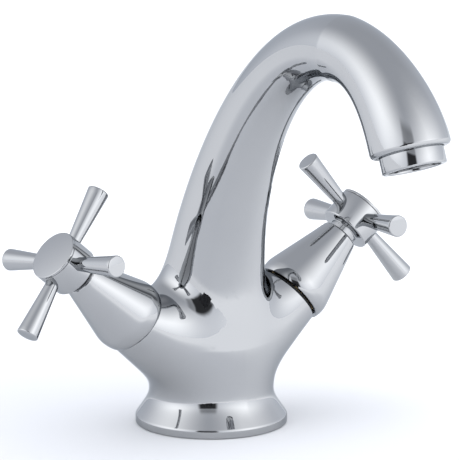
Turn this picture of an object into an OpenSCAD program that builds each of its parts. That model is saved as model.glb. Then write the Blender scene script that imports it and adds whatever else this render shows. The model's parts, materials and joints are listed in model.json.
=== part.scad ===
// Two-handle basin mixer: one cast body with a swan-neck spout, two inclined
// ceramic-disc valves with cross handles, and a screw-in aerator.
// Millimetres, +Z up. The origin is the middle of the foot on the basin (z = 0).
// The spout points along -Y, the hot valve is on -X and the cold valve on +X.

/* [Foot] */
// Radius of the foot on the basin
foot_r = 29; // [28.5:0.1:30]
// Radius of the waist above the foot
waist_r = 23.8; // [23.4:0.1:24.4]
// Height of the waist above the basin
waist_z = 12.8; // [12:0.1:13.5]

/* [Spout] */
// Radius of the column above the valves
column_r = 22.2; // [21.6:0.1:22.6]
// Height of the centre line at the top of the arch
arch_z = 159; // [155:0.5:165]
// Distance forward of the top of the arch
arch_reach = 85.7; // [83:0.1:88]
// Distance forward of the outlet's centre
outlet_reach = 128; // [125:0.5:130]
// Height of the outlet's centre
outlet_z = 128; // [126:0.5:130]
// Forward lean of the outlet's stream, degrees from straight down
outlet_tilt = 22; // [20:1:28]
// Wall of the hollow casting
wall = 3.2; // [2.8:0.1:3.4]

/* [Supply and fixing] */
// Distance of each inlet from the middle
inlet_x = 8.5; // [8.3:0.1:9]
// Wall radius of the M10 x 1 inlet threads
inlet_r = 4.5; // [4.4:0.05:4.55]
// Distance of each fixing stud from the middle
stud_y = 11; // [10.8:0.1:11.6]
// Wall radius of the M8 fixing threads
stud_r = 3.4; // [3.35:0.05:3.5]

/* [Valves] */
// Rise of the valve axes above horizontal, degrees
valve_rise = 39.5; // [39:0.1:40]
// Height at which the two valve axes cross
cross_z = 15.4; // [15:0.1:15.8]
// Distance along an axis from the crossing to the arm's end face
arm_end = 45.9; // [45.7:0.1:46]
// Radius of an arm at its end face
arm_r = 12.9; // [12.7:0.1:13.2]
// Radius of the G1/2 valve thread
thread_r = 10.45; // [10.4:0.05:10.5]
// Greatest radius of the shroud
shroud_r = 14.2; // [14:0.1:14.4]
// Angle that a handle turns from closed to fully open
quarter_turn = 90; // [80:1:90]

/* [Handles] */
// Distance along an axis from the crossing to the plane of the spokes
spoke_plane = 87.2; // [87:0.1:87.4]
// Radius of the hub
hub_r = 10; // [9.8:0.1:10.2]
// Distance of a spoke's end from the axis
spoke_reach = 31.7; // [30:0.1:34]
// Radius of a spoke at its outer end
spoke_tip_r = 4.2; // [3.8:0.1:4.5]
// Radius of a spoke at the hub
spoke_root_r = 2.6; // [2.4:0.1:2.8]
// Turn of the hot handle's cross when it is closed, degrees
hot_turn = 10; // [0:1:20]
// Turn of the cold handle's cross when it is closed, degrees
cold_turn = -6.5; // [-20:0.5:0]

/* [Hidden] */
$fn = 64;

HOT = -1;
COLD = 1;
e = 0.1;                    // overshoot of a cut past the face that it opens
fit = 0.08;                 // radial clearance of a running fit

// Foot
edge_r = 2;                 // rounding of the foot's upper edge
edge_z = 2.6;               // height at which that rounding starts
edge_turn = 35;             // angle that the rounding turns through
foot_chamfer = 0.8;
groove_in = 23.6;           // inner radius of the gasket groove
groove_out = 26.4;
groove_h = 2;
lower_h = 4.5;              // length of the foot's solid above the waist

// Spout
column_z = 33;              // height at which the column starts to lean forward
lip_r = 2;                  // rounding of the spout's lip
outlet_r = 15.2;            // radius of the spout just above its lip
sides = 28;                 // sides of the spout's skin
bore_sides = 18;            // sides of the waterway
chamber_z = 47;             // floor of the mixing chamber inside the column
drop_s = 15.5;              // reach of the drop's lower control point

// Aerator, distances along its axis from the spout's end, positive downwards
aerator_r = 11.5;           // shared radius of the M24 x 1 thread
aerator_top = 8;            // depth of the housing inside the spout
socket_top = 10;            // depth of its socket, with room for the washer
jacket_r = 10.4;            // bore of the housing
skirt_r = 12.1;
skirt_h = 6.3;              // length of the ring that shows below the spout
ledge_r = 9.8;              // ledge that holds the screen
ledge_h = 2.5;
insert_r = 8.6;             // bore of the flow straightener
insert_end = 2.7;
core_r = 2.6;
screen_h = 0.9;
screen_pitch = 2.7;

// Supply ways
inlet_depth = 12;
way_r = 3.4;                // radius of the plain way above each inlet thread
way_top = 24.5;
stud_depth = 14;
mix_s = 31;                 // where a mixing way leaves its valve
mix_turn = 92;              // angle between it and the valve's axis
mix_r = 3.6;
mix_reach = 24;

// Valve, all distances along its axis from the crossing
seat_s = 22;                // floor that the valve presses on
port_r = 5.5;
port_s = 12;
body_s = 23.4;              // lower end of the headwork
cavity_r = 9.2;             // cavity that holds the ceramic discs
seal_h = 2.2;
disc_h = 3;
film = 0.05;                // gap between faces that slide on each other
disc_s = seat_s + seal_h + disc_h + film;
plate_s = disc_s + disc_h;
slot_in = 2.4;              // pair of fan-shaped openings in each disc
slot_out = 7.4;
slot_turn = 72;
key_l = 8;                  // key that turns the moving disc
key_w = 2;
key_h = 1.1;
cavity_top = 33.6;
window_s = 27.6;            // lower edge of the headwork's side windows
window_w = 9;
chamber_in = 26.5;          // span of the ring-shaped way round the windows
chamber_out = 35;
chamber_r = 11.4;
gasket_h = 0.8;
flange_h = 5.3;
flange_flats = 21;
neck_r = 8;
neck_top = 66;
stem_r = 6;
stem_top = 73.6;
spindle_r = 4;
spindle_top = 86;
plate_r = 8.6;
plate_h = 2.4;
lug_turn = 40;              // angle that the spindle's stop lug fills
lug_r = 6.8;
lug_h = 1.4;
stop_gap = 1;               // degrees left between the lug and each stop
window_turn = 60;           // opening in the spindle's plate over each disc opening
o_ring_s = [62, 67];
o_ring_r = 0.5;
o_groove_r = 3;
washer_h = 0.6;
clip_s = stem_top + film + washer_h;
clip_h = 0.8;
clip_in = 3.2;
clip_out = 5.4;
screw_r = 2;
screw_l = 6;                // thread of the handle screw inside the spindle
head_r = 3.8;
head_h = 2.2;

// Shroud
rim_s = 46.8;
belly_s = 50.5;             // where the shroud is widest
cone_s = 54;                // where the straight cone starts
cone_r = 13.6;
shroud_top = 78;
shroud_top_r = 7.4;
shroud_wall = 1.2;
collar_s = 57;              // span of the threaded collar inside the shroud
collar_top = 64;

// Handle
hub_s = 80.6;               // back face of the hub's barrel
cap_s = 91.9;               // joint between the hub and its cap
cap_h = 1.2;
collar_r = 5.7;             // neck of the hub that enters the shroud
collar_low = 75.8;
web_s = 86.1;               // web that the handle screw pulls on
web_h = 1.9;
pocket_r = 5;               // pocket for the screw's head
spigot_r = 1.7;
spigot_in = 6.4;
tip_round = 0.6;

chrome = [0.80, 0.81, 0.83];
brass = [0.78, 0.64, 0.34];
steel = [0.70, 0.70, 0.72];
rubber = [0.10, 0.10, 0.11];
ceramic = [0.93, 0.92, 0.88];
plastic = [0.86, 0.87, 0.88];

// ---------------------------------------------------------------- curves
function bezier(p, t) =
    pow(1 - t, 3) * p[0] + 3 * t * pow(1 - t, 2) * p[1] + 3 * t * t * (1 - t) * p[2] + pow(t, 3) * p[3];
function bezier_slope(p, t) =
    pow(1 - t, 2) * (p[1] - p[0]) + 2 * t * (1 - t) * (p[2] - p[1]) + t * t * (p[3] - p[2]);
function steps(n) = [for (i = [0 : n]) i / n];
function arc(cx, cy, r, from, to, n = 8) = [for (t = steps(n)) let (a = from + (to - from) * t)
    [cx + r * cos(a), cy + r * sin(a)]];

// Centre line of the spout as [y, z, radius]: the swan neck, then the drop to the outlet.
neck_curve = [
    [0, column_z, column_r],
    [0, column_z + 59, 14.5],
    [-arch_reach + 46.8, arch_z, 10.5],
    [-arch_reach, arch_z, 12.75]
];
drop_curve = [
    [-arch_reach, arch_z, 12.75],
    [-arch_reach - 20.6, arch_z, 11.2],
    [-outlet_reach + drop_s * sin(outlet_tilt), outlet_z + drop_s * cos(outlet_tilt), outlet_r],
    [-outlet_reach, outlet_z, outlet_r]
];

// A station is [y, z, radius, direction y, direction z].
function station(p, t, shrink = 0) =
    let (c = bezier(p, t), d = bezier_slope(p, t), n = norm([d[0], d[1]]))
    [c[0], c[1], c[2] - shrink, d[0] / n, d[1] / n];
function ring(s, n) = [for (i = [0 : n - 1]) let (a = 360 * i / n, u = s[2] * sin(a))
    [s[2] * cos(a), s[0] - s[4] * u, s[1] + s[3] * u]];

// Closed tube through a list of stations.
module tube(stations, n) {
    m = len(stations);
    points = [for (s = stations) each ring(s, n)];
    walls = [for (k = [0 : m - 2], i = [0 : n - 1]) let (j = (i + 1) % n, a = k * n, b = a + n)
        each [[a + i, a + j, b + j], [a + i, b + j, b + i]]];
    low = [for (i = [n - 1 : -1 : 0]) i];
    high = [for (i = [0 : n - 1]) (m - 1) * n + i];
    polyhedron(points, concat([low], walls, [high]), convexity = 6);
}

// ---------------------------------------------------------------- places
module at_valve(side) {
    translate([0, 0, cross_z]) rotate([0, side * (90 - valve_rise), 0]) children();
}
module at_outlet() {
    translate([0, -outlet_reach, outlet_z]) rotate([180 - outlet_tilt, 0, 0]) children();
}
module span(from, to, r) {
    translate([0, 0, from]) cylinder(h = to - from, r = r);
}
module washer(from, to, inner, outer) {
    difference() {
        span(from, to, outer);
        span(from - e, to + e, inner);
    }
}
// Pie slice of a disc, from angle a0 through turn.
module slice(from, to, r, a0, turn) {
    translate([0, 0, from]) rotate([0, 0, a0]) rotate_extrude(angle = turn) square([r, to - from]);
}

// ---------------------------------------------------------------- body
module foot_solid() {
    flare = [
        [foot_r - edge_r + edge_r * cos(edge_turn), edge_z + edge_r * sin(edge_turn)],
        [foot_r - 2.9, waist_z - 5.4],
        [waist_r, waist_z - 2.6],
        [waist_r, waist_z]
    ];
    rotate_extrude() polygon(concat(
        [[0, 0], [foot_r - foot_chamfer, 0], [foot_r, foot_chamfer]],
        arc(foot_r - edge_r, edge_z, edge_r, 0, edge_turn, 4),
        [for (i = [1 : 9]) bezier(flare, i / 9)],
        [[waist_r, waist_z + 1], [waist_r - 1.7, waist_z + lower_h], [0, waist_z + lower_h]]
    ));
}
module arm_solid(side) {
    hull() {
        translate([0, 0, waist_z + 3]) cylinder(h = 1, r = waist_r - 1.6, $fn = 40);
        at_valve(side) span(arm_end - 2, arm_end, arm_r, $fn = 40);
    }
}
module spout_solid() {
    swan = [for (t = steps(18)) station(neck_curve, t)];
    drop = [for (i = [1 : 9]) station(drop_curve, i * 0.96 / 9)];
    tip = station(drop_curve, 1);
    lip = [for (a = [30 : 30 : 90]) [
        tip[0] - lip_r * (1 - sin(a)) * tip[3], tip[1] - lip_r * (1 - sin(a)) * tip[4],
        tip[2] - lip_r * (1 - cos(a)), tip[3], tip[4]]];
    shaft = [[0, waist_z - 1, waist_r - 3, 0, 1], [0, 22, waist_r - 2, 0, 1]];
    tube(concat(shaft, swan, drop, lip), sides);
}
module waterway() {
    swan = [for (i = [3 : 16]) station(neck_curve, i / 16, wall)];
    drop = [for (i = [1 : 8]) station(drop_curve, i * 0.85 / 8, wall)];
    shaft = [[0, chamber_z, swan[0][2] - 2.5, 0, 1]];
    tube(concat(shaft, swan, drop), bore_sides);
}
module supply_way(side) {
    translate([side * inlet_x, 0, 0]) {
        span(-e, inlet_depth, inlet_r);
        span(0, way_top, way_r);
    }
    at_valve(side) span(port_s, seat_s + e, port_r);
}
module valve_bore() {
    span(seat_s, arm_end + e, thread_r);
    span(chamber_in, chamber_out, chamber_r);
}
module mixing_way(side) {
    at_valve(side) translate([0, 0, mix_s]) rotate([0, -side * mix_turn, 0]) span(2, mix_reach, mix_r);
}
module body_casting() {
    color(chrome) difference() {
        union() {
            foot_solid();
            spout_solid();
            arm_solid(HOT);
            arm_solid(COLD);
        }
        translate([0, 0, -e]) washer(0, groove_h + e, groove_in, groove_out);
        for (side = [HOT, COLD]) {
            supply_way(side);
            at_valve(side) valve_bore();
            mixing_way(side);
            translate([0, side * stud_y, 0]) span(-e, stud_depth, stud_r);
        }
        waterway();
        at_outlet() span(-socket_top, e, aerator_r);
    }
}
module base_gasket() {
    color(rubber) washer(0, groove_h, groove_in, groove_out);
}

// ---------------------------------------------------------------- aerator
module aerator_housing() {
    color(chrome) at_outlet() rotate_extrude() polygon(concat(
        [[jacket_r, -aerator_top], [aerator_r, -aerator_top], [aerator_r, 0], [skirt_r, 0]],
        arc(skirt_r - 0.5, skirt_h - 0.5, 0.5, 0, 90, 4),
        [[ledge_r, skirt_h], [ledge_r, skirt_h - ledge_h], [jacket_r, skirt_h - ledge_h]]
    ));
}
module aerator_insert() {
    top = 0.4 - aerator_top;
    color(plastic) at_outlet() {
        washer(top, insert_end, insert_r, jacket_r);
        span(top, 1, core_r);
        for (a = [0 : 60 : 300]) rotate([0, 0, a])
            translate([core_r - 0.2, -0.6, top + 0.5]) cube([insert_r - core_r + 0.5, 1.2, 6]);
    }
}
module aerator_screen() {
    top = skirt_h - ledge_h - 0.1 - screen_h;
    color(steel) at_outlet() difference() {
        span(top, top + screen_h, jacket_r - 0.1);
        for (row = [1 : 3], i = [0 : row * 6 - 1]) rotate([0, 0, 60 * i / row])
            translate([row * screen_pitch, 0, 0]) span(top - e, top + screen_h + e, 0.95);
    }
}
module aerator_washer() {
    color(rubber) at_outlet() washer(-socket_top, -aerator_top, ledge_r - 0.8, aerator_r - 0.1);
}

// ---------------------------------------------------------------- valve, held parts
module seat_seal() {
    color(rubber) washer(seat_s, seat_s + seal_h, port_r + 0.3, cavity_r - 0.1);
}
// Pair of fan-shaped openings, centred on a0 and opposite it.
module openings(from, to, a0, turn, inner) {
    for (a = [a0, a0 + 180]) rotate([0, 0, a]) difference() {
        slice(from, to, slot_out, -turn / 2, turn);
        span(from - e, to + e, inner);
    }
}
module fixed_disc() {
    s = seat_s + seal_h;
    color(ceramic) difference() {
        span(s, s + disc_h, cavity_r - 0.1);
        openings(s - e, s + disc_h + e, 0, slot_turn, slot_in);
    }
}
module headwork_body() {
    flange_s = arm_end + gasket_h;
    color(brass) difference() {
        union() {
            span(body_s, flange_s, thread_r);
            translate([0, 0, flange_s]) cylinder(h = flange_h, r = flange_flats / 2 / cos(30), $fn = 6);
            span(flange_s, neck_top, neck_r);
            span(neck_top, stem_top, stem_r);
        }
        span(body_s - e, cavity_top, cavity_r);
        span(cavity_top - e, stem_top + e, spindle_r + fit);
        slice(cavity_top - e, cavity_top + lug_h + 0.2, lug_r + 0.2, -stop_gap, quarter_turn + lug_turn + 2 * stop_gap);
        translate([-20, -window_w / 2, window_s]) cube([40, window_w, cavity_top - window_s]);
    }
}
module headwork_gasket() {
    color(rubber) washer(arm_end, arm_end + gasket_h, thread_r + 0.05, arm_r - 1.1);
}
module shroud() {
    outer = concat(
        [[shroud_r - 0.9, rim_s]],
        [for (t = steps(5)) bezier([[shroud_r - 0.6, rim_s + 0.1], [shroud_r - 0.1, rim_s + 1.2],
            [shroud_r, belly_s - 1.6], [shroud_r, belly_s]], t)],
        [for (i = [1 : 4]) bezier([[shroud_r, belly_s], [shroud_r, belly_s + 1.2],
            [cone_r + 0.3, cone_s - 1.2], [cone_r, cone_s]], i / 4)],
        [[shroud_top_r, shroud_top - 1]],
        arc(shroud_top_r - 1, shroud_top - 1, 1, 10, 90, 4)
    );
    inner = [
        [collar_r + 0.4, shroud_top],
        [collar_r + 0.4, shroud_top - 2],
        [shroud_top_r - 0.8, shroud_top - 2.6],
        [neck_r + 1.2, collar_top + 2],
        [neck_r, collar_top + 0.6],
        [neck_r, collar_s],
        [cone_r - shroud_wall, collar_s - 2.2],
        [shroud_r - shroud_wall, belly_s],
        [shroud_r - shroud_wall - 0.7, rim_s]
    ];
    color(chrome) rotate_extrude() polygon(concat(outer, inner));
}

// ---------------------------------------------------------------- valve, turning parts
module moving_disc() {
    color(ceramic) difference() {
        span(disc_s, plate_s, cavity_r - 0.2);
        openings(disc_s - e, plate_s + e, 90, slot_turn, slot_in);
        translate([-key_l / 2, -key_w / 2, plate_s - key_h - e]) cube([key_l, key_w, key_h + 2 * e]);
    }
}
module spindle() {
    color(brass) difference() {
        union() {
            span(plate_s, plate_s + plate_h, plate_r);
            translate([-key_l / 2, -key_w / 2, plate_s - key_h]) cube([key_l, key_w, key_h + e]);
            slice(plate_s + plate_h - e, plate_s + plate_h + lug_h, lug_r, 0, lug_turn);
            span(plate_s, spindle_top, spindle_r);
        }
        openings(plate_s - e, plate_s + plate_h + e, 90, window_turn, spindle_r + 1);
        for (s = o_ring_s) washer(s - o_ring_r - e, s + o_ring_r + e, o_groove_r, spindle_r + e);
        washer(clip_s, clip_s + clip_h, clip_in, spindle_r + e);
        span(spindle_top - screw_l - 0.5, spindle_top + e, screw_r);
    }
}
module spindle_o_rings() {
    color(rubber) for (s = o_ring_s) translate([0, 0, s]) rotate_extrude()
        translate([o_groove_r + o_ring_r + 0.02, 0]) circle(r = o_ring_r, $fn = 24);
}
module thrust_washer() {
    color(plastic) washer(stem_top + film, clip_s, spindle_r + 0.1, stem_r - 0.3);
}
module circlip() {
    color(steel) difference() {
        washer(clip_s, clip_s + clip_h, clip_in, clip_out);
        translate([0, -1.2, clip_s - e]) cube([clip_out + e, 2.4, clip_h + 2 * e]);
    }
}
module handle_hub() {
    color(chrome) difference() {
        union() {
            rotate_extrude() polygon(concat(
                [[0, hub_s]],
                arc(hub_r - 0.6, hub_s + 0.6, 0.6, -90, 0, 3),
                [[hub_r, cap_s], [0, cap_s]]
            ));
            span(collar_low, hub_s + 1, collar_r);
        }
        span(collar_low - e, web_s, spindle_r);
        span(web_s - e, web_s + web_h + e, screw_r + 0.1);
        span(web_s + web_h, cap_s + e, pocket_r);
        for (a = [0 : 90 : 270]) spoke_place(a) span(spigot_in, hub_r, spigot_r);
    }
}
// Local +Z of a spoke runs out along it; a = 0 points to the front.
module spoke_place(a) {
    rotate([0, 0, a]) translate([0, 0, spoke_plane]) rotate([90, 0, 0]) children();
}
module spoke(a) {
    tip = spoke_tip_r;
    color(chrome) difference() {
        spoke_place(a) {
            rotate_extrude() polygon(concat(
                [[0, hub_r - 2], [spoke_root_r, hub_r - 2]],
                arc(tip - tip_round, spoke_reach - tip_round, tip_round, 5, 90, 4),
                [[0, spoke_reach]]
            ));
        }
        span(hub_s - 2, cap_s + 3, hub_r);
    }
    color(chrome) spoke_place(a) span(spigot_in, hub_r, spigot_r);
}
module handle_screw() {
    head_s = web_s + web_h;
    color(steel) difference() {
        union() {
            span(head_s, head_s + head_h, head_r);
            span(spindle_top - screw_l, head_s + e, screw_r);
        }
        for (a = [0, 90]) rotate([0, 0, a])
            translate([-0.6, 0.8 - head_r, head_s + 1]) cube([1.2, 2 * head_r - 1.6, head_h]);
    }
}
module index_cap() {
    color(chrome) rotate_extrude() polygon(concat(
        [[0, cap_s + 0.4], [pocket_r - 1, cap_s + 0.4], [pocket_r - 1, cap_s - 1.4],
            [pocket_r, cap_s - 1.4], [pocket_r, cap_s], [hub_r, cap_s]],
        arc(hub_r - 0.4, cap_s + cap_h - 0.4, 0.4, 0, 90, 4),
        [[0, cap_s + cap_h]]
    ));
}

// Turns a handle's parts to their closed position.
module at_handle(side) {
    at_valve(side) rotate([0, 0, side == HOT ? hot_turn : cold_turn]) children();
}
// The cold valve opens the other way, so its stop parts are mirrored.
module stop_side(side) {
    at_valve(side) mirror([0, side == HOT ? 0 : 1, 0]) children();
}

body_casting();
base_gasket();
aerator_housing();
aerator_insert();
aerator_screen();
aerator_washer();

at_valve(HOT) seat_seal();  // hot_seat_seal
stop_side(HOT) fixed_disc();  // hot_fixed_disc
stop_side(HOT) headwork_body();  // hot_headwork_body
at_valve(HOT) headwork_gasket();  // hot_headwork_gasket
at_valve(HOT) shroud();  // hot_shroud
stop_side(HOT) moving_disc();  // hot_moving_disc
stop_side(HOT) spindle();  // hot_spindle
at_valve(HOT) spindle_o_rings();  // hot_spindle_o_rings
at_valve(HOT) thrust_washer();  // hot_thrust_washer
at_valve(HOT) circlip();  // hot_circlip
at_handle(HOT) handle_hub();  // hot_handle_hub
at_handle(HOT) spoke(0);  // hot_spoke_front
at_handle(HOT) spoke(90);  // hot_spoke_upper
at_handle(HOT) spoke(180);  // hot_spoke_back
at_handle(HOT) spoke(270);  // hot_spoke_lower
at_handle(HOT) handle_screw();  // hot_handle_screw
at_handle(HOT) index_cap();  // hot_index_cap

at_valve(COLD) seat_seal();  // cold_seat_seal
stop_side(COLD) fixed_disc();  // cold_fixed_disc
stop_side(COLD) headwork_body();  // cold_headwork_body
at_valve(COLD) headwork_gasket();  // cold_headwork_gasket
at_valve(COLD) shroud();  // cold_shroud
stop_side(COLD) moving_disc();  // cold_moving_disc
stop_side(COLD) spindle();  // cold_spindle
at_valve(COLD) spindle_o_rings();  // cold_spindle_o_rings
at_valve(COLD) thrust_washer();  // cold_thrust_washer
at_valve(COLD) circlip();  // cold_circlip
at_handle(COLD) handle_hub();  // cold_handle_hub
at_handle(COLD) spoke(0);  // cold_spoke_front
at_handle(COLD) spoke(270);  // cold_spoke_upper
at_handle(COLD) spoke(180);  // cold_spoke_back
at_handle(COLD) spoke(90);  // cold_spoke_lower
at_handle(COLD) handle_screw();  // cold_handle_screw
at_handle(COLD) index_cap();  // cold_index_cap
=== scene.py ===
"""Basin mixer with a swan-neck spout and two cross handles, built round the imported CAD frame.

Shapes are worked out in millimetres in the frame of the CAD and scaled to metres as each piece is
made; the camera, floor and lights are in metres. The outer skin of the casting is one smooth surface:
a field blends the column, its foot and its spout with the two valve arms, and the surface where that
field is zero is meshed, trimmed near the foot, arms and outlet, and finished there with turned rings.
"""
import json
import math

import bmesh
import bpy
import numpy as np
from mathutils import Matrix, Vector


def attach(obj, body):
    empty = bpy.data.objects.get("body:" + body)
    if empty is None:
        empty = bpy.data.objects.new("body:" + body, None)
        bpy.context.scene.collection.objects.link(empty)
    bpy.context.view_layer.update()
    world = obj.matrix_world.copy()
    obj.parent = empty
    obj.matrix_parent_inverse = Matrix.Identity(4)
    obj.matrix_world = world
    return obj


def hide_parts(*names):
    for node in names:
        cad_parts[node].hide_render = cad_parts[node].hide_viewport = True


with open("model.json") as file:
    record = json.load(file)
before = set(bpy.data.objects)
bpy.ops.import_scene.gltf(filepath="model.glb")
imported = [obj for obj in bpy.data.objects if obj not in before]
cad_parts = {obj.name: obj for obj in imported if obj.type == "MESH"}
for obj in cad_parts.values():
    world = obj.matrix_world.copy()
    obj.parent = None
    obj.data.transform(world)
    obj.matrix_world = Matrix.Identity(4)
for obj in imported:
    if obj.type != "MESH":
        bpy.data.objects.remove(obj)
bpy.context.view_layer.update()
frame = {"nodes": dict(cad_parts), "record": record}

MM = 0.001

# ------------------------------------------------------------------ camera
AZIMUTH, ELEVATION = math.radians(-34.67), math.radians(13.0)
DISTANCE, LENS, SENSOR = 2.5, 515.3, 36
AIM_HIGH, AIM_RIGHT, AIM_DOWN = 0.07768, 0.00716, 0.00285
back = Vector((math.sin(AZIMUTH) * math.cos(ELEVATION), -math.cos(AZIMUTH) * math.cos(ELEVATION),
               math.sin(ELEVATION)))                     # from the object towards the camera
right = Vector((math.cos(AZIMUTH), math.sin(AZIMUTH), 0.0))
up = back.cross(right)
aim = Vector((0, 0, AIM_HIGH)) + right * AIM_RIGHT - up * AIM_DOWN

cam_data = bpy.data.cameras.new("camera")
cam_data.sensor_width = SENSOR
cam_data.lens = LENS
cam_data.clip_start, cam_data.clip_end = 0.05, 100
camera = bpy.data.objects.new("camera", cam_data)
bpy.context.scene.collection.objects.link(camera)
camera.location = aim + back * DISTANCE
camera.rotation_mode = "QUATERNION"
camera.rotation_quaternion = (-back).to_track_quat("-Z", "Y")
bpy.context.scene.camera = camera
bpy.context.scene.view_settings.view_transform = "Standard"


# ------------------------------------------------------------------ materials
def node_material(name):
    mat = bpy.data.materials.new(name)
    mat.use_nodes = True
    tree = mat.node_tree
    bsdf = next(n for n in tree.nodes if n.type == "BSDF_PRINCIPLED")
    return mat, tree, bsdf


def add(tree, kind, inputs=(), **attributes):
    node = tree.nodes.new(kind)
    for key, value in attributes.items():
        setattr(node, key, value)
    for key, value in dict(inputs).items():
        node.inputs[key].default_value = value
    return node


def noise(tree, scale, detail=3.0, stretch=None):
    """Noise in object coordinates; stretch draws it out along an axis."""
    coords = add(tree, "ShaderNodeTexCoord")
    out = coords.outputs["Object"]
    if stretch:
        mapping = add(tree, "ShaderNodeMapping", {"Scale": stretch})
        tree.links.new(out, mapping.inputs["Vector"])
        out = mapping.outputs["Vector"]
    tex = add(tree, "ShaderNodeTexNoise", {"Scale": scale, "Detail": detail, "Roughness": 0.55})
    tree.links.new(out, tex.inputs["Vector"])
    return tex.outputs["Fac"]


def ramp(tree, source, low, high, start=0.3, end=0.7):
    """Map a factor onto low..high."""
    node = add(tree, "ShaderNodeMapRange",
               {"From Min": start, "From Max": end, "To Min": low, "To Max": high})
    tree.links.new(source, node.inputs["Value"])
    return node.outputs["Result"]


def tint(tree, source, a, b):
    """Mix two colours by a factor."""
    node = add(tree, "ShaderNodeMix", data_type="RGBA")
    node.inputs["A"].default_value = (*a, 1)
    node.inputs["B"].default_value = (*b, 1)
    tree.links.new(source, node.inputs["Factor"])
    return node.outputs["Result"]


def bump(tree, source, bsdf, strength, distance):
    node = add(tree, "ShaderNodeBump", {"Strength": strength, "Distance": distance})
    tree.links.new(source, node.inputs["Height"])
    tree.links.new(node.outputs["Normal"], bsdf.inputs["Normal"])


def chrome():
    """Bright chrome on polished brass: cool tone, faint polishing swirls and a trace of unevenness."""
    mat, tree, bsdf = node_material("chrome_plate")
    bsdf.inputs["Metallic"].default_value = 1.0
    bsdf.inputs["Specular Tint"].default_value = (0.62, 0.64, 0.66, 1)
    broad = ramp(tree, noise(tree, 34, 2), 0, 1)
    tree.links.new(tint(tree, broad, (0.409, 0.416, 0.425), (0.423, 0.429, 0.436)),
                   bsdf.inputs["Base Color"])
    swirl = noise(tree, 900, 4, (1, 1, 0.25))
    tree.links.new(ramp(tree, swirl, 0.012, 0.04), bsdf.inputs["Roughness"])
    bump(tree, noise(tree, 160, 2), bsdf, 0.05, 0.00004)
    return mat


def brass():
    mat, tree, bsdf = node_material("machined_brass")
    bsdf.inputs["Metallic"].default_value = 1.0
    lathe = noise(tree, 1500, 3, (1, 1, 6))
    tree.links.new(tint(tree, ramp(tree, noise(tree, 60), 0, 1), (0.66, 0.48, 0.20), (0.74, 0.56, 0.27)),
                   bsdf.inputs["Base Color"])
    tree.links.new(ramp(tree, lathe, 0.22, 0.38), bsdf.inputs["Roughness"])
    bump(tree, lathe, bsdf, 0.2, 0.00002)
    return mat


def steel():
    mat, tree, bsdf = node_material("stainless_steel")
    bsdf.inputs["Metallic"].default_value = 1.0
    grain = noise(tree, 2200, 4, (1, 8, 1))
    tree.links.new(tint(tree, ramp(tree, grain, 0, 1), (0.50, 0.50, 0.51), (0.62, 0.62, 0.63)),
                   bsdf.inputs["Base Color"])
    tree.links.new(ramp(tree, grain, 0.2, 0.36), bsdf.inputs["Roughness"])
    bump(tree, grain, bsdf, 0.15, 0.00002)
    return mat


def rubber():
    mat, tree, bsdf = node_material("sealing_rubber")
    tree.links.new(tint(tree, ramp(tree, noise(tree, 300), 0, 1),
                        (0.012, 0.012, 0.013), (0.022, 0.022, 0.024)), bsdf.inputs["Base Color"])
    grain = noise(tree, 3000, 3)
    tree.links.new(ramp(tree, grain, 0.5, 0.72), bsdf.inputs["Roughness"])
    bump(tree, grain, bsdf, 0.3, 0.00003)
    return mat


def ceramic():
    mat, tree, bsdf = node_material("lapped_alumina")
    tree.links.new(tint(tree, ramp(tree, noise(tree, 500), 0, 1), (0.80, 0.78, 0.72), (0.86, 0.85, 0.80)),
                   bsdf.inputs["Base Color"])
    fine = noise(tree, 4000, 4)
    tree.links.new(ramp(tree, fine, 0.12, 0.24), bsdf.inputs["Roughness"])
    bump(tree, fine, bsdf, 0.08, 0.00001)
    return mat


def acetal():
    mat, tree, bsdf = node_material("moulded_acetal")
    tree.links.new(tint(tree, ramp(tree, noise(tree, 200), 0, 1), (0.70, 0.71, 0.72), (0.77, 0.78, 0.79)),
                   bsdf.inputs["Base Color"])
    bsdf.inputs["Subsurface Weight"].default_value = 0.08
    fine = noise(tree, 2600, 3)
    tree.links.new(ramp(tree, fine, 0.38, 0.52), bsdf.inputs["Roughness"])
    bump(tree, fine, bsdf, 0.12, 0.00002)
    return mat


SLOTS = {"chrome": chrome(), "brass": brass(), "steel": steel(), "rubber": rubber(),
         "ceramic": ceramic(), "plastic": acetal()}
for part in frame["record"]["subparts"]:
    mesh = frame["nodes"][part["node"]].data
    mesh.materials.clear()
    mesh.materials.append(SLOTS[part["material_slot"]])


SHARP_OVER = math.radians(32)                            # edges that turn more than this stay sharp


def finish_piece(bm, name, body, replaced, normals=None):
    """Turn a bmesh in millimetres into a chrome piece of the object."""
    bmesh.ops.recalc_face_normals(bm, faces=bm.faces)
    bmesh.ops.scale(bm, vec=(MM, MM, MM), verts=bm.verts)
    for f in bm.faces:
        f.smooth = True
    for edge in bm.edges:
        edge.smooth = len(edge.link_faces) == 2 and edge.calc_face_angle(0) < SHARP_OVER
    mesh = bpy.data.meshes.new(name)
    bm.to_mesh(mesh)
    bm.free()
    mesh.materials.append(SLOTS["chrome"])
    obj = bpy.data.objects.new(name, mesh)
    bpy.context.scene.collection.objects.link(obj)
    if normals is not None:
        mesh.normals_split_custom_set([tuple(n) for n in normals(mesh)])
    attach(obj, body)
    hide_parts(*replaced)


# ------------------------------------------------------------------ casting: the field
# the top of the spout's centre line; the outlet's middle, rim radius and tilt from straight down
ARCH_Z, ARCH_Y = 159.0, 85.7
OUT_Y, OUT_Z, OUT_R, TILT = 128.0, 128.0, 15.2, math.radians(22)
OUT_DIR = np.array([-math.sin(TILT), -math.cos(TILT)])   # (y, z) of the stream
# the column where the spout starts to lean; the waist above the foot, and how fast each narrows
COLUMN_Z, COLUMN_R, NECK_TAPER = 33.0, 22.2, 0.10
WAIST_Z, WAIST_R, WAIST_TAPER, WAIST_PULL = 12.8, 23.6, 0.18, 2.6
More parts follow.
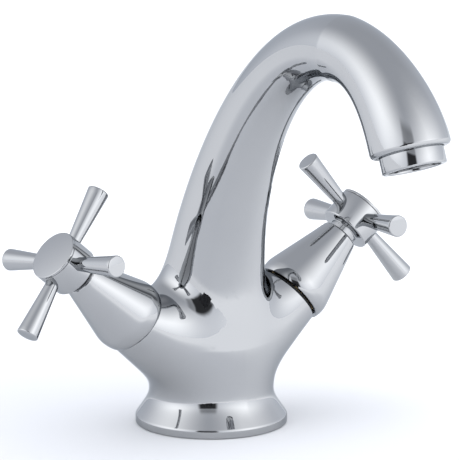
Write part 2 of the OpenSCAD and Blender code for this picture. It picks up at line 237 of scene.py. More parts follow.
# the foot, its rounded edge, where its flare is steered, and how far the field runs on under it
FOOT_R, EDGE_R, EDGE_Z, EDGE_TURN = 29.0, 2.0, 2.6, 35
FLARE_IN, FLARE_DOWN, BELOW = 2.9, 5.4, 4.0
# the valve axes, the arm's end on them, and its root section, an upright ellipse inside the column
RISE, CROSS_Z = math.radians(39.5), 15.4
ARM_END, ARM_R = 45.9, 12.9
ARM_ROOT_Z, ARM_ROOT_HIGH, ARM_ROOT_Y = 22.9, 27.6, 21.0
ARM_SQUARE = 1.2                                         # how much squarer than an ellipse the root is
ARM_PAST = 1.25                                          # the ruling runs on past the end by a quarter
# blend width at the waist and in the two crotches, and where it changes: first value and span
BLEND_LOW, BLEND_FRONT, BLEND_REAR = 9.0, 14.0, 22.0
CROTCH_Z, CROTCH_Y = (22, 34), (-6, 14)
# the spout's centre line as Bezier points of y, z and radius
NECK = np.array([[0, COLUMN_Z, COLUMN_R], [0, COLUMN_Z + 59, 14.5],
                 [46.8 - ARCH_Y, ARCH_Z, 10.5], [-ARCH_Y, ARCH_Z, 12.75]])
DROP = np.array([[-ARCH_Y, ARCH_Z, 12.75], [-ARCH_Y - 20.6, ARCH_Z, 11.2],
                 [*(np.array([-OUT_Y, OUT_Z]) - 15.5 * OUT_DIR), OUT_R], [-OUT_Y, OUT_Z, OUT_R]])


def bezier(p, t):
    """Points of a cubic Bezier curve; p holds its four control points."""
    t = np.asarray(t)[:, None]
    return (1 - t) ** 3 * p[0] + 3 * t * (1 - t) ** 2 * p[1] + 3 * t * t * (1 - t) * p[2] + t ** 3 * p[3]


def smoothstep(v, start, span):
    """Go smoothly from 0, where v is start, to 1, a span further on."""
    v = np.clip((v - start) / span, 0, 1)
    return v * v * (3 - 2 * v)


UPRIGHT_ROWS, CURVE_ROWS = 1500, 1200                    # spine samples up to COLUMN_Z and on each curve
TAIL = 6                                                 # the spine runs on past the outlet by this much


def spine():
    """Centre line of the foot, column and spout as rows of y, z and radius."""
    turn = np.radians(np.linspace(0, EDGE_TURN, 60))
    edge = np.c_[FOOT_R - EDGE_R + EDGE_R * np.cos(turn), EDGE_Z + EDGE_R * np.sin(turn)]
    flare = bezier(np.array([edge[-1], [FOOT_R - FLARE_IN, WAIST_Z - FLARE_DOWN],
                             [WAIST_R + WAIST_PULL * WAIST_TAPER, WAIST_Z - WAIST_PULL],
                             [WAIST_R, WAIST_Z]]), np.linspace(0, 1, 300))[1:]
    rise = COLUMN_Z - WAIST_Z
    column = bezier(np.array([[WAIST_R, WAIST_Z], [WAIST_R - WAIST_TAPER * rise / 3, WAIST_Z + rise / 3],
                              [COLUMN_R + NECK_TAPER * rise / 3, COLUMN_Z - rise / 3],
                              [COLUMN_R, COLUMN_Z]]), np.linspace(0, 1, 300))[1:]
    outline = np.vstack([[[FOOT_R, -BELOW]], edge, flare, column])
    z = np.linspace(-BELOW, COLUMN_Z, UPRIGHT_ROWS)
    low = np.c_[np.zeros_like(z), z, np.interp(z, outline[:, 1], outline[:, 0])]
    t = np.linspace(0, 1, CURVE_ROWS)
    past = np.linspace(0.1, TAIL, 30)[:, None]
    tail = np.hstack([np.array([[-OUT_Y, OUT_Z]]) + past * OUT_DIR, np.full_like(past, OUT_R)])
    return np.vstack([low, bezier(NECK, t)[1:], bezier(DROP, t)[1:], tail])


SPINE = spine()
STEP = np.diff(SPINE[:, :2], axis=0)
STEP_LENGTH = np.linalg.norm(STEP, axis=1)
SKIP, CHUNK = 12, 20000


def near_spine(yz):
    """Distance to the spine in its plane, with the spine's radius and the slope of that radius there.

    Every SKIP-th row is tried first, then the rows round the nearest of those, CHUNK points at a time."""
    result = np.empty((3, len(yz)))
    rough = SPINE[::SKIP, :2]
    for start in range(0, len(yz), CHUNK):
        q = yz[start:start + CHUNK]
        nearest = ((q[:, None] - rough[None]) ** 2).sum(2).argmin(1) * SKIP
        k = np.clip(nearest[:, None] + np.arange(-SKIP - 2, SKIP + 3), 0, len(STEP) - 1)
        w = q[:, None] - SPINE[k, :2]
        t = np.clip((w * STEP[k]).sum(2) / STEP_LENGTH[k] ** 2, 0, 1)
        gap = ((w - STEP[k] * t[:, :, None]) ** 2).sum(2)
        j = gap.argmin(1)
        n = np.arange(len(q))
        k, t, gap = k[n, j], t[n, j], gap[n, j]
        rise = SPINE[k + 1, 2] - SPINE[k, 2]
        result[:, start:start + CHUNK] = np.sqrt(gap), SPINE[k, 2] + rise * t, rise / STEP_LENGTH[k]
    return result


def trunk_field(x, near):
    """About how far a point is outside the round bar that follows the spine."""
    distance, radius, slope = near
    return (np.hypot(x, distance) - radius) / np.sqrt(1 + slope * slope)


def arm_field(p):
    """Ruled surface from an upright ellipse inside the column to the circle at the arm's end; both arms."""
    x, y, z = np.abs(p[:, 0]), p[:, 1], p[:, 2] - ARM_ROOT_Z
    c, s = math.cos(RISE), math.sin(RISE)
    reach = np.array([ARM_END * c, CROSS_Z + ARM_END * s - ARM_ROOT_Z])
    low = np.array([0.0, -ARM_ROOT_HIGH])
    grow = np.array([ARM_R * s, -ARM_R * c]) - low
    # the section that holds p, at u from 0 to 1, solves a quadratic
    qa = reach[1] * grow[0] - reach[0] * grow[1]
    qb = x * grow[1] - z * grow[0] - reach[0] * low[1] + reach[1] * low[0]
    qc = x * low[1] - z * low[0]
    root = np.sqrt(np.maximum(qb * qb - 4 * qa * qc, 0))
    u = np.clip(-2 * qc / (qb + root + 1e-9), 0, ARM_PAST)
    vx, vz = low[0] + u * grow[0], low[1] + u * grow[1]
    rx = np.hypot(vx, vz)
    ry = ARM_ROOT_Y + u * (ARM_R - ARM_ROOT_Y)
    dx, dz = x - u * reach[0], z - u * reach[1]
    a, b = (dx * vx + dz * vz) / rx, (dz * vx - dx * vz) / rx
    power = 2 + ARM_SQUARE * np.clip(1 - u, 0, 1) ** 2
    ta, ty = np.abs(a) / rx + 1e-6, np.abs(y) / ry + 1e-6
    total = ta ** power + ty ** power
    slope = total ** (1 / power - 1) * np.hypot(ta ** (power - 1) / rx, ty ** (power - 1) / ry)
    side = (total ** (1 / power) - 1) / slope
    return np.hypot(np.maximum(side, 0), b) + np.minimum(side, 0)


def blended(trunk, arms, y, z):
    """Union of the trunk and the arms, filled out over a width k where they meet."""
    crotch = BLEND_FRONT + (BLEND_REAR - BLEND_FRONT) * smoothstep(y, *CROTCH_Y)
    k = BLEND_LOW + (crotch - BLEND_LOW) * smoothstep(z, *CROTCH_Z)
    h = np.maximum(k - np.abs(trunk - arms), 0) / k
    return np.minimum(trunk, arms) - h ** 3 * k / 6


def field(p):
    """The casting's skin is where this is zero; it is negative inside."""
    return blended(trunk_field(p[:, 0], near_spine(p[:, 1:])), arm_field(p), p[:, 1], p[:, 2])


ARMS_Y, ARMS_Z = -60, 110                                # the arms matter only behind and below this
SETTLE = 3                                               # Newton steps that put the mesh on the surface


def gradient(p, h=0.06):
    """Slope of the field at each point, by central differences."""
    return np.stack([(field(p + d) - field(p - d)) / (2 * h) for d in h * np.eye(3)], axis=1)


def skin(pitch, low, high):
    """Vertices on the surface where the field is zero, and the quads between them."""
    axes = [np.arange(a, b + pitch, pitch) for a, b in zip(low, high)]
    shape = tuple(map(len, axes))
    y, z = np.meshgrid(axes[1], axes[2], indexing="ij")
    near = near_spine(np.c_[y.ravel(), z.ravel()]).reshape(3, 1, *y.shape)
    x = axes[0][:, None, None]
    values = trunk_field(x, near)
    close = np.broadcast_to((y > ARMS_Y) & (z < ARMS_Z), shape)
    grid = np.stack(np.broadcast_arrays(x, y[None], z[None]), -1)[close]
    values[close] = blended(values[close], arm_field(grid), grid[:, 1], grid[:, 2])
    inside = values < 0
    corners = [(i, j, k) for i in (0, 1) for j in (0, 1) for k in (0, 1)]
    count = sum(inside[i:shape[0] - 1 + i, j:shape[1] - 1 + j, k:shape[2] - 1 + k].astype(np.int8)
                for i, j, k in corners)
    cells = np.argwhere((count > 0) & (count < 8))
    index = -np.ones(count.shape, int)
    index[tuple(cells.T)] = np.arange(len(cells))
    total, hits = np.zeros((len(cells), 3)), np.zeros(len(cells))
    for a in corners:
        for b in corners:
            if a < b and sum(abs(i - j) for i, j in zip(a, b)) == 1:
                va, vb = values[tuple((cells + a).T)], values[tuple((cells + b).T)]
                crossed = (va < 0) != (vb < 0)
                t = np.where(crossed, va / np.where(crossed, va - vb, 1), 0)[:, None]
                total[crossed] += (np.array(a) + t * np.subtract(b, a))[crossed]
                hits += crossed
    points = (cells + total / hits[:, None]) * pitch + np.array([a[0] for a in axes])
    quads = []
    for axis in range(3):
        one, two = (axis + 1) % 3, (axis + 2) % 3
        ahead, behind = [slice(None)] * 3, [slice(None)] * 3
        behind[axis], ahead[axis] = slice(0, -1), slice(1, None)
        edge = np.argwhere(inside[tuple(behind)] != inside[tuple(ahead)])
        for t in (one, two):
            edge = edge[(edge[:, t] > 0) & (edge[:, t] < shape[t] - 1)]
        corner_ids = []
        for d1, d2 in ((-1, -1), (0, -1), (0, 0), (-1, 0)):
            cell = edge.copy()
            cell[:, one] += d1
            cell[:, two] += d2
            corner_ids.append(index[tuple(cell.T)])
        corner_ids = np.array(corner_ids).T
        flipped = ~inside[tuple(edge.T)]
        corner_ids[flipped] = corner_ids[flipped][:, ::-1]
        quads.append(corner_ids)
    for _ in range(SETTLE):
        slope = gradient(points)
        points = points - (field(points) / np.maximum((slope ** 2).sum(1), 1e-6))[:, None] * slope
    return points, np.vstack(quads)


# ------------------------------------------------------------------ casting: the mesh
def valve_matrix(side):
    """Local +Z runs out along a valve's axis from the crossing of the two axes."""
    return Matrix.Translation((0, 0, CROSS_Z)) @ Matrix.Rotation(side * (math.pi / 2 - RISE), 4, "Y")


def outlet_matrix():
    return Matrix.Translation((0, -OUT_Y, OUT_Z)) @ Matrix.Rotation(math.pi - TILT, 4, "X")


def local(matrix, points):
    """Height along the matrix's axis and distance from that axis, for rows of points."""
    p = np.c_[points, np.ones(len(points))] @ np.array(matrix.inverted()).T
    return p[:, 2], np.hypot(p[:, 0], p[:, 1])


CUT_DEPTH, MERGE, ON_CUT = 12, 2e-2, 1e-2                # how far below a cut it acts, and its tolerances


def cut(bm, matrix, height, radius):
    """Remove what lies above z = height in the matrix's frame and return the loop of the cut, in order."""
    normal = matrix.to_3x3() @ Vector((0, 0, 1))
    level, off = local(matrix, np.array([f.calc_center_median() for f in bm.faces]))
    bm.faces.ensure_lookup_table()
    faces = [bm.faces[i] for i in np.nonzero((level > height - CUT_DEPTH) & (off < radius))[0]]
    geom = [*dict.fromkeys(v for f in faces for v in f.verts),
            *dict.fromkeys(e for f in faces for e in f.edges), *faces]
    made = bmesh.ops.bisect_plane(bm, geom=geom, plane_co=matrix @ Vector((0, 0, height)), plane_no=normal,
                                  clear_outer=True, dist=1e-4)
    edges = [e for e in made["geom_cut"] if isinstance(e, bmesh.types.BMEdge) and e.is_valid]
    bmesh.ops.dissolve_degenerate(bm, dist=MERGE, edges=edges)
    rim = [e for e in bm.edges if e.is_boundary]
    level, off = local(matrix, np.array([(e.verts[0].co + e.verts[1].co) / 2 for e in rim]))
    return ordered([rim[i] for i in np.nonzero((abs(level - height) < ON_CUT) & (off < radius))[0]])


def ordered(edges):
    """The vertices of one closed loop of edges, one after another."""
    links = {}
    for e in edges:
        for v in e.verts:
            links.setdefault(v, []).append(e)
    start = edges[0].verts[0]
    loop, v, e = [start], start, edges[0]
    while True:
        v = e.other_vert(v)
        if v is start:
            return loop
        loop.append(v)
        e = next(x for x in links[v] if x is not e)


BLENDED_RINGS = 3


def rings(bm, loop, matrix, profile):
    """Carry a loop on through rings of (radius, height) in the matrix's frame; returns the last ring.

    The first rings blend from the loop's own radius, so the loop need not be a perfect circle."""
    inverse = matrix.inverted()
    base = [inverse @ v.co for v in loop]
    last = loop
    r0 = profile[0][0]
    for i, (r, h) in enumerate(profile[1:], 1):
        share = max(0.0, 1 - i / BLENDED_RINGS)
        ring = []
        for p in base:
            rp, a = math.hypot(p.x, p.y), math.atan2(p.y, p.x)
            rr = r + (rp - r0) * share
            ring.append(bm.verts.new(matrix @ Vector((rr * math.cos(a), rr * math.sin(a), h))))
        for j in range(len(ring)):
            k = (j + 1) % len(ring)
            bm.faces.new((last[j], last[k], ring[k], ring[j]))
        last = ring
    return last


def arc(cr, ch, radius, a0, a1, n):
    """Points of (radius, height) from a0 to a1 degrees round the centre (cr, ch)."""
    return [(cr + radius * math.cos(math.radians(a0 + (a1 - a0) * i / n)),
             ch + radius * math.sin(math.radians(a0 + (a1 - a0) * i / n))) for i in range(n + 1)]


GROOVE_IN, GROOVE_OUT, GROOVE_H = 23.6, 26.4, 2.0
INLET_X, INLET_R, INLET_DEPTH = 8.5, 4.5, 12.0
STUD_Y, STUD_R, STUD_DEPTH = 11.0, 3.4, 14.0
WELL_CHAMFER, WELL_SIDES = 0.35, 48
LIP_R, FOOT_EDGE, ARM_EDGE = 1.9, 0.7, 0.6               # rounded edges of the mouth, foot and arms
ARM_BORE_R, ARM_BORE_CHAMFER, ARM_BORE_DEPTH = 10.5, 0.4, 6
# (radius, height) inside the spout's mouth: a fine edge, then a step in to the aerator's socket
MOUTH_BORE = [(12.4, 0), (12.3, -0.15), (12.3, -0.6), (11.75, -0.8), (11.75, -10)]
FOOT_TURNED, FLARE_FROM = 6.5, 3.8                       # below the first the body is drawn as turned rings
SKIN_LOW, SKIN_HIGH = (-53, -150, -3.5), (53, 34, 178)
PITCH = 1.1
ARM_CUT_R, SPOUT_CUT_R = 18, 20                          # a cut acts within this distance of its axis
ON_SKIN = 0.02


def casting():
    """The casting's skin, trimmed, with its edges, sockets, groove and the wells in its underside."""
    points, quads = skin(PITCH, SKIN_LOW, SKIN_HIGH)
    mesh = bpy.data.meshes.new("skin")
    mesh.from_pydata(points.tolist(), [], quads.tolist())
    bm = bmesh.new()
    bm.from_mesh(mesh)
    bpy.data.meshes.remove(mesh)

    down = Matrix.Rotation(math.pi, 4, "X")
    base = cut(bm, down, -FOOT_TURNED, FOOT_R + 3)
    ends = {side: cut(bm, valve_matrix(side), ARM_END - ARM_EDGE, ARM_CUT_R) for side in (-1, 1)}
    mouth = cut(bm, outlet_matrix(), -LIP_R, SPOUT_CUT_R)
    loose = [v for v in bm.verts if not v.link_faces]
    bmesh.ops.delete(bm, geom=loose, context="VERTS")

    for side, loop in ends.items():
        profile = [(ARM_R, ARM_END - ARM_EDGE)]
        profile += arc(ARM_R - ARM_EDGE, ARM_END - ARM_EDGE, ARM_EDGE, 0, 90, 5)[1:]
        profile += [(ARM_BORE_R + ARM_BORE_CHAMFER, ARM_END), (ARM_BORE_R, ARM_END - ARM_BORE_CHAMFER),
                    (ARM_BORE_R, ARM_END - ARM_BORE_DEPTH)]
        bm.faces.new(rings(bm, loop, valve_matrix(side), profile))
    profile = [(OUT_R, -LIP_R)] + arc(OUT_R - LIP_R, -LIP_R, LIP_R, 0, 90, 8)[1:] + MOUTH_BORE
    bm.faces.new(rings(bm, mouth, outlet_matrix(), profile))

    # the foot: its flare, its rounded edge, the upright band, the lower edge and the gasket's groove
    heights = [*np.linspace(FOOT_TURNED, FLARE_FROM, 8)]
    heights += [EDGE_Z + EDGE_R * math.sin(math.radians(a)) for a in np.linspace(EDGE_TURN, 0, 9)]
    heights += [*np.linspace(EDGE_Z, FOOT_EDGE, 4)][1:]
    upright = SPINE[:UPRIGHT_ROWS]
    profile = [(float(np.interp(z, upright[:, 1], upright[:, 2])), -z) for z in heights]
    profile += arc(FOOT_R - FOOT_EDGE, -FOOT_EDGE, FOOT_EDGE, 0, 90, 5)[1:]
    profile += [(GROOVE_OUT, 0), (GROOVE_OUT, -GROOVE_H), (GROOVE_IN, -GROOVE_H), (GROOVE_IN, 0)]
    floor_loop = rings(bm, base, down, profile)

    # the underside, with the inlets and the stud holes as wells in it
    edges = [bm.edges.get((floor_loop[i], floor_loop[i - 1])) for i in range(len(floor_loop))]
    wells = [(sx * INLET_X, 0, INLET_R, INLET_DEPTH) for sx in (-1, 1)]
    wells += [(0, sy * STUD_Y, STUD_R, STUD_DEPTH) for sy in (-1, 1)]
    for x, y, r, depth in wells:
        circles = []
        for h, rr in ((0, r + WELL_CHAMFER), (WELL_CHAMFER, r), (depth, r)):
            circles.append([bm.verts.new((x + rr * math.cos(a), y + rr * math.sin(a), h))
                            for a in np.linspace(0, 2 * math.pi, WELL_SIDES, endpoint=False)])
        for one, two in zip(circles, circles[1:]):
            for j in range(WELL_SIDES):
                bm.faces.new((one[j - 1], one[j], two[j], two[j - 1]))
        bm.faces.new(circles[-1])
        edges += [bm.edges.get((circles[0][j - 1], circles[0][j])) for j in range(WELL_SIDES)]
    bmesh.ops.triangle_fill(bm, edges=edges, use_beauty=True, normal=(0, 0, -1))

    def exact_normals(made):
        """The field's own normals on the skin; the rest keeps the mesh's."""
        co = np.empty(len(made.vertices) * 3)
        made.vertices.foreach_get("co", co)
        co = co.reshape(-1, 3) / MM
        on_skin = np.abs(field(co)) < ON_SKIN
        n = gradient(co)
        n /= np.linalg.norm(n, axis=1)[:, None]
        on_skin &= co[:, 2] > FOOT_EDGE - ON_SKIN
        for matrix, height in ((valve_matrix(-1), ARM_END - ARM_EDGE),
                               (valve_matrix(1), ARM_END - ARM_EDGE), (outlet_matrix(), -LIP_R)):
            level, off = local(matrix, co)
            on_skin &= (level < height + ON_SKIN) | (off > SPOUT_CUT_R)
        loops = np.empty(len(made.loops), int)
        made.loops.foreach_get("vertex_index", loops)
        own = np.array([c.vector for c in made.corner_normals])
        pick = on_skin[loops]
        own[pick] = n[loops][pick]
        return own

    finish_piece(bm, "casting_skin", "tap_body", ["body_casting"], exact_normals)


casting()


# ------------------------------------------------------------------ turned parts
def lathe(profile, matrix, n=96):
    """Solid of revolution from (radius, height) points; a radius of 0 closes it at a pole."""
    bm = bmesh.new()
    previous = None
    for r, h in profile:
        if r < 1e-6:
            ring = [bm.verts.new(matrix @ Vector((0, 0, h)))]
        else:
            ring = [bm.verts.new(matrix @ Vector((r * math.cos(a), r * math.sin(a), h)))
                    for a in np.linspace(0, 2 * math.pi, n, endpoint=False)]
        if previous is not None:
            for j in range(n):
                four = [previous[(j - 1) % len(previous)], previous[j % len(previous)],
                        ring[j % len(ring)], ring[(j - 1) % len(ring)]]
                face = [v for i, v in enumerate(four) if v not in four[:i]]
                bm.faces.new(face)
        previous = ring
    return bm


FILLET_STEPS = 4


def rounded(points):
    """Outline of (radius, height, fillet) corners with each fillet drawn as an arc."""
    out = []
    for i, (r, h, fillet) in enumerate(points):
        if not fillet or i in (0, len(points) - 1):
            out.append((r, h))
            continue
        here = Vector((r, h))
        a = (Vector(points[i - 1][:2]) - here).normalized()
        b = (Vector(points[i + 1][:2]) - here).normalized()
        half = a.angle(b) / 2
        centre = here + (a + b).normalized() * (fillet / math.sin(half))
        start, end = here + a * fillet / math.tan(half), here + b * fillet / math.tan(half)
        va, vb = start - centre, end - centre
        sweep = va.angle_signed(vb)
        for k in range(FILLET_STEPS + 1):
            t = sweep * k / FILLET_STEPS
            c, s = math.cos(-t), math.sin(-t)
            out.append((centre.x + va.x * c - va.y * s, centre.y + va.x * s + va.y * c))
    return out


# places along a valve's axis end in _S; side -1 is the hot valve and side 1 the cold
SIDE = {-1: "hot", 1: "cold"}
RIM_S = {-1: 46.0, 1: 46.8}                              # the cold shroud stands further off its arm
CROSS_TURN = {-1: math.radians(10), 1: math.radians(-6.5)}
BELLY_S, CONE_S, TOP_S = 50.5, 54.0, 78.0
SHROUD_R, CONE_R, SHROUD_TOP_R = 14.2, 13.6, 7.4
SHROUD_HOLLOW = [(9.2, 66), (8.0, 64.6), (8.0, 57)]      # (radius, _S) inside it, round the headwork
COLLAR_S, COLLAR_R, COLLAR_GAP = 75.8, 5.7, 0.35
HUB_S, HUB_R, CAP_S, CAP_H = 80.6, 10.0, 91.9, 1.2
SPOKE_S, SPOKE_REACH, SPOKE_TIP_R, SPOKE_ROOT_R, SPOKE_EDGE = 87.2, 31.7, 4.2, 2.6, 0.6
SPOKE_SIDES, AERATOR_SIDES = 56, 120


def shroud(side):
    """Bell-shaped cover: a rounded rim, a short belly, a long cone, and the hollow that clears the valve."""
    rim_s = RIM_S[side]
    outer = [(SHROUD_R - 1.05, rim_s + 0.12), (SHROUD_R - 0.9, rim_s)]
    rim = bezier(np.array([[SHROUD_R - 0.6, rim_s + 0.1], [SHROUD_R - 0.1, rim_s + 1.2],
                           [SHROUD_R, BELLY_S - 1.6], [SHROUD_R, BELLY_S]]), np.linspace(0, 1, 13))
    turn = bezier(np.array([[SHROUD_R, BELLY_S], [SHROUD_R, BELLY_S + 1.2],
                            [CONE_R + 0.3, CONE_S - 1.2], [CONE_R, CONE_S]]), np.linspace(0, 1, 11))[1:]
    outer += [tuple(p) for p in rim] + [tuple(p) for p in turn]
    cone = np.linspace([CONE_R, CONE_S], [SHROUD_TOP_R, TOP_S - 1], 16)[1:]
    outer += [tuple(p) for p in cone]
    outer += arc(SHROUD_TOP_R - 1, TOP_S - 1, 1, 12, 90, 6)
    inner = [(COLLAR_R + 0.6, TOP_S), (COLLAR_R + COLLAR_GAP, TOP_S - 0.25),
             (COLLAR_R + COLLAR_GAP, TOP_S - 2), (SHROUD_TOP_R - 0.8, TOP_S - 2.6), *SHROUD_HOLLOW,
             (CONE_R - 1.2, 54.8), (SHROUD_R - 1.2, BELLY_S), (SHROUD_R - 1.95, rim_s + 0.12)]
    bm = lathe(outer + inner + outer[:1], valve_matrix(side))
    bmesh.ops.remove_doubles(bm, verts=bm.verts, dist=1e-5)
    finish_piece(bm, SIDE[side] + "_shroud_turned", "tap_body", [SIDE[side] + "_shroud"])


def handle_matrix(side):
    return valve_matrix(side) @ Matrix.Rotation(CROSS_TURN[side], 4, "Z")


def hub(side):
    """Hub with its collar, and the flat cap that leaves a fine shadow line round itself."""
    outline = rounded([(0, COLLAR_S, 0), (COLLAR_R, COLLAR_S, 0.3), (COLLAR_R, HUB_S, 0.25),
                       (HUB_R, HUB_S, 0.6), (HUB_R, CAP_S, 0.22), (HUB_R - 0.35, CAP_S + 0.02, 0.0),
                       (0, CAP_S + 0.02, 0)])
    bm = lathe(outline, handle_matrix(side))
    finish_piece(bm, SIDE[side] + "_hub_turned", SIDE[side] + "_handle", [SIDE[side] + "_handle_hub"])
    outline = rounded([(0, CAP_S + 0.1, 0), (HUB_R - 0.3, CAP_S + 0.1, 0.0),
                       (HUB_R - 0.05, CAP_S + 0.12, 0.15), (HUB_R - 0.05, CAP_S + CAP_H, 0.35),
                       (0, CAP_S + CAP_H, 0)])
    bm = lathe(outline, handle_matrix(side))
    finish_piece(bm, SIDE[side] + "_cap_turned", SIDE[side] + "_handle", [SIDE[side] + "_index_cap"])


def spoke(side, name, turn):
    """Tapered round bar whose root follows the hub's barrel and whose end is flat with a rounded edge."""
    taper = np.linspace([SPOKE_ROOT_R, HUB_R], [SPOKE_TIP_R, SPOKE_REACH - SPOKE_EDGE], 14)
    outline = [tuple(p) for p in taper]
    outline += arc(SPOKE_TIP_R - SPOKE_EDGE, SPOKE_REACH - SPOKE_EDGE, SPOKE_EDGE, 8, 90, 6)
    place = (handle_matrix(side) @ Matrix.Rotation(turn, 4, "Z") @ Matrix.Translation((0, 0, SPOKE_S))
             @ Matrix.Rotation(math.pi / 2, 4, "X"))
    bm = lathe(outline + [(0, SPOKE_REACH)], place, SPOKE_SIDES)
    bm.verts.ensure_lookup_table()
    inverse = place.inverted()
    root = list(bm.verts)[:SPOKE_SIDES]
    for v in root:      # local x is tangent to the barrel, so its surface drops away with x
        p = inverse @ v.co
        p.z = math.sqrt(HUB_R ** 2 - p.x ** 2) - 0.02
        v.co = place @ p
    bm.faces.new(root)
    finish_piece(bm, "%s_spoke_%s_turned" % (SIDE[side], name), SIDE[side] + "_handle",
                 ["%s_spoke_%s" % (SIDE[side], name)])


def aerator():
    """The ring below the spout's mouth: a sleeve in the socket, a wider skirt and a ledge inside it."""
    sleeve, skirt, bore, ledge = 11.5, 12.1, 10.4, 9.8
    deep, shoulder, step, low = -8, -0.4, 3.8, 6.3
    ring = rounded([(bore, deep, 0), (sleeve, deep, 0), (sleeve, shoulder - 0.1, 0),
                    (skirt, shoulder, 0.1), (skirt, low, 0.6), (ledge, low, 0.45), (ledge, step, 0),
                    (bore, step, 0), (bore, deep, 0)])
    bm = lathe(ring, outlet_matrix(), AERATOR_SIDES)
    bmesh.ops.remove_doubles(bm, verts=bm.verts, dist=1e-5)
    finish_piece(bm, "aerator_ring", "tap_body", ["aerator_housing"])


for side in (-1, 1):
    shroud(side)
    hub(side)
    upper = math.pi / 2 if side == -1 else -math.pi / 2
    for name, turn in (("front", 0), ("upper", upper), ("back", math.pi), ("lower", -upper)):
        spoke(side, name, turn)
aerator()

# ------------------------------------------------------------------ floor and light
def math_node(tree, operation, *values):
    """A Math node; each value is a number or the socket that feeds it."""
    node = add(tree, "ShaderNodeMath", operation=operation)
    for socket, value in zip(node.inputs, values):
        if isinstance(value, (int, float)):
            socket.default_value = value
        else:
            tree.links.new(value, socket)
    return node.outputs["Value"]


def vector_node(tree, operation, vector, other=None):
    """A Vector Math node on a socket, with a constant as its other input."""
    node = add(tree, "ShaderNodeVectorMath", operation=operation)
    tree.links.new(vector, node.inputs[0])
    if other:
        node.inputs[1].default_value = other
    return node.outputs["Value" if operation in ("DOT_PRODUCT", "LENGTH") else "Vector"]


def soft_step(tree, value, start, end, low=0.0, high=1.0):
    """Go smoothly from low, where value is start, to high, where it is end."""
    node = add(tree, "ShaderNodeMapRange", {"From Min": start, "From Max": end, "To Min": low,
                                            "To Max": high}, interpolation_type="SMOOTHSTEP")
    tree.links.new(value, node.inputs["Value"])
    return node.outputs["Result"]


def toward(turn):
    """Level unit vector to the camera's side, turned anticlockwise by so much as seen from above."""
    return Vector((math.sin(AZIMUTH + turn), -math.cos(AZIMUTH + turn), 0))


# painted shade: the floor's colour is darkest round a point in front of the object and a little to its left,
# standing in for the shade round the object and the falloff of the light
PAINTED_SHADE_FLOOR, FAR_FLOOR, FLOOR_R = (0.745, 0.755, 0.775), (0.96, 0.96, 0.96), 40
PAINTED_SHADE_TURN, PAINTED_SHADE_AWAY, PAINTED_SHADE_START, PAINTED_SHADE_END = math.radians(-30), 0.12, 0.14, 0.36
floor_mat, tree, bsdf = node_material("studio_floor")
coords = add(tree, "ShaderNodeTexCoord").outputs["Object"]
off = vector_node(tree, "LENGTH", vector_node(tree, "ADD", coords, -toward(PAINTED_SHADE_TURN) * PAINTED_SHADE_AWAY))
shade = soft_step(tree, off, PAINTED_SHADE_START, PAINTED_SHADE_END)
# painted shade mixed into the floor's colour, from the shaded colour near that point to the plain floor
# further out
tree.links.new(tint(tree, shade, PAINTED_SHADE_FLOOR, FAR_FLOOR), bsdf.inputs["Base Color"])
bsdf.inputs["Roughness"].default_value = 0.9
bsdf.inputs["Specular IOR Level"].default_value = 0.0
# and painted light: the floor glows by emission, brightest well out to the right, standing in for the light
# of that side's softbox falling there
PAINTED_LIGHT_TURN, PAINTED_LIGHT_START, PAINTED_LIGHT_END, PAINTED_LIGHT_GLOW = math.radians(80), -0.02, 0.3, 0.25
aside = vector_node(tree, "DOT_PRODUCT", coords, toward(PAINTED_LIGHT_TURN))
# painted light: emission on the floor in place of the softbox's light
tree.links.new(ramp(tree, aside, 0.0, PAINTED_LIGHT_GLOW, PAINTED_LIGHT_START, PAINTED_LIGHT_END), bsdf.inputs["Emission Strength"])
bsdf.inputs["Emission Color"].default_value = (1, 1, 1, 1)
bm = bmesh.new()
bmesh.ops.create_circle(bm, cap_ends=True, segments=96, radius=FLOOR_R)
mesh = bpy.data.meshes.new("studio_floor")
bm.to_mesh(mesh)
bm.free()
mesh.materials.append(floor_mat)
floor = bpy.data.objects.new("studio_floor", mesh)
bpy.context.scene.collection.objects.link(floor)


def window(tree, around, height, box):
    """Soft-edged patch of the studio: azimuth, half width and softness, then the same for elevation."""
    azimuth, half, soft, elevation, half_high, soft_high = (math.radians(v) for v in box)
    off = math_node(tree, "ARCCOSINE", vector_node(tree, "DOT_PRODUCT", around, toward(azimuth)))
    across = soft_step(tree, off, half + soft, half - soft)
    off = math_node(tree, "ABSOLUTE", math_node(tree, "SUBTRACT", height, elevation))
    return math_node(tree, "MULTIPLY", across, soft_step(tree, off, half_high + soft_high,
                                                         half_high - soft_high))


# each box as window() takes it, with its strength: two big softboxes in front and a weak one behind,
# and the dark where the camera stands
LIT_BOXES = (((-70, 35, 36, 25, 25, 31), 1.31), ((60, 32, 42, 22, 24, 33), 1.5),
             ((135, 20, 40, 2, 8, 25), 0.4))
DARK_BOXES = (((-6, 16, 4, 13, 14, 4), 0.95), ((-6, 16, 4, 31, 11, 6), 0.5))
HORIZON, ZENITH, DIMS_OVER = 1.06, 0.715, math.radians(60)
COOL, WARM = (0.945, 0.985, 1.075, 1), (1.0, 0.99, 0.965, 1)

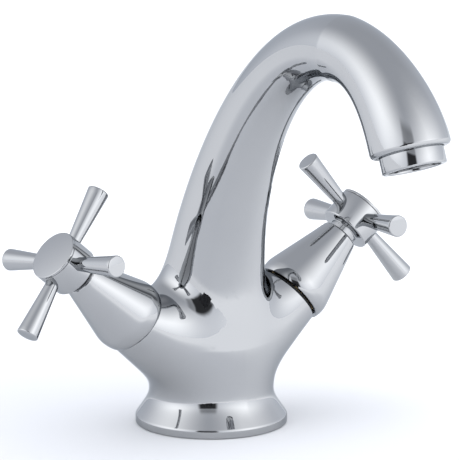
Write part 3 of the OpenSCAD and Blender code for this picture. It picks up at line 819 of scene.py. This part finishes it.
world = bpy.data.worlds.new("studio")
bpy.context.scene.world = world
world.use_nodes = True
tree = world.node_tree
tree.nodes.clear()
direction = add(tree, "ShaderNodeTexCoord").outputs["Generated"]
around = vector_node(tree, "NORMALIZE", vector_node(tree, "MULTIPLY", direction, (1, 1, 0)))
height = math_node(tree, "ARCSINE", vector_node(tree, "DOT_PRODUCT", direction, (0, 0, 1)))
room = soft_step(tree, height, 0, DIMS_OVER, HORIZON, ZENITH)
boxes = [math_node(tree, "MULTIPLY", window(tree, around, height, box), gain) for box, gain in LIT_BOXES]
boxes = math_node(tree, "ADD", math_node(tree, "ADD", boxes[0], boxes[1]), boxes[2])
open_room = 1.0
for box, depth in DARK_BOXES:
    shade = math_node(tree, "MULTIPLY_ADD", window(tree, around, height, box), -depth, 1.0)
    open_room = math_node(tree, "MINIMUM", shade, open_room)
shaders = []
for colour, level in ((COOL, room), (WARM, boxes)):
    node = add(tree, "ShaderNodeBackground", {"Color": colour})
    tree.links.new(math_node(tree, "MULTIPLY", level, open_room), node.inputs["Strength"])
    shaders.append(node)
both = add(tree, "ShaderNodeAddShader")
tree.links.new(shaders[0].outputs[0], both.inputs[0])
tree.links.new(shaders[1].outputs[0], both.inputs[1])
tree.links.new(both.outputs[0], add(tree, "ShaderNodeOutputWorld").inputs["Surface"])

# wide overhead light for the floor, which the chrome doesn't mirror
overhead = bpy.data.lights.new("overhead", "SUN")
overhead.energy, overhead.angle, overhead.color = 1.23, math.radians(80), (1.0, 1.0, 1.02)
lamp = bpy.data.objects.new("overhead", overhead)
lamp.location = (0, 0, 2)
lamp.visible_glossy = False
bpy.context.scene.collection.objects.link(lamp)

# a low dark card in front, like a real studio's stand, seen only where the chrome mirrors it
CARD_AWAY, CARD_TURN, CARD_WIDE, CARD_HIGH = 0.8, math.radians(-7), 0.26, 0.2
card_mat, tree, bsdf = node_material("dark_card")
bsdf.inputs["Base Color"].default_value = (0.03, 0.03, 0.032, 1)
bsdf.inputs["Roughness"].default_value = 1.0
bsdf.inputs["Specular IOR Level"].default_value = 0.0
across = toward(CARD_TURN + math.pi / 2) * CARD_WIDE / 2
foot = toward(CARD_TURN) * CARD_AWAY
top = Vector((0, 0, CARD_HIGH))
mesh = bpy.data.meshes.new("dark_card")
mesh.from_pydata([foot - across, foot + across, foot + across + top, foot - across + top], [],
                 [(0, 1, 2, 3)])
mesh.materials.append(card_mat)
card = bpy.data.objects.new("dark_card", mesh)
card.visible_camera = card.visible_diffuse = card.visible_shadow = False
bpy.context.scene.collection.objects.link(card)
